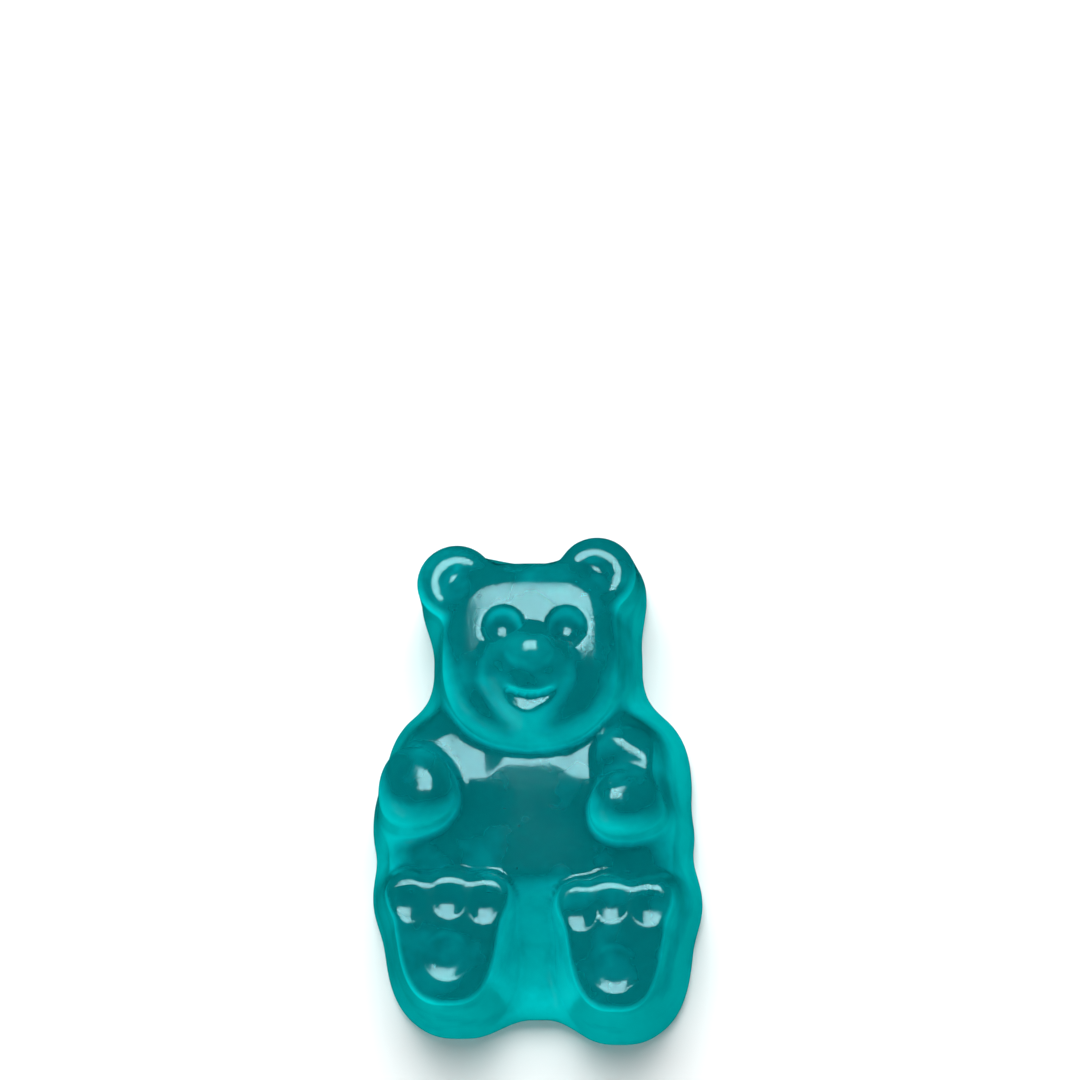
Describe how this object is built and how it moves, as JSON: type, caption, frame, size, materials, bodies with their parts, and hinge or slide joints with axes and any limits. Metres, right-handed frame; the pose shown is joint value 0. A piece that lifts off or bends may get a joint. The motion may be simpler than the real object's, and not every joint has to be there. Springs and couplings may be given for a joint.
{
  "type": "gummy bear",
  "caption": "Translucent blue-green jelly sweet in the shape of a sitting bear with round ears and paw pads, lying on its flat back.",
  "frame": {"origin": "middle of the bear's outline, on the surface that its flat back lies on", "axes": "+Y toward the top of the head, +X toward the bear's left hand (the viewer's right), +Z out of the front, up as it lies"},
  "size_m": [0.0145, 0.0218, 0.0098],
  "materials": {
    "jelly": null
  },
  "bodies": {
    "root": {"gummy_bear": "jelly"}
  },
  "joints": []
}
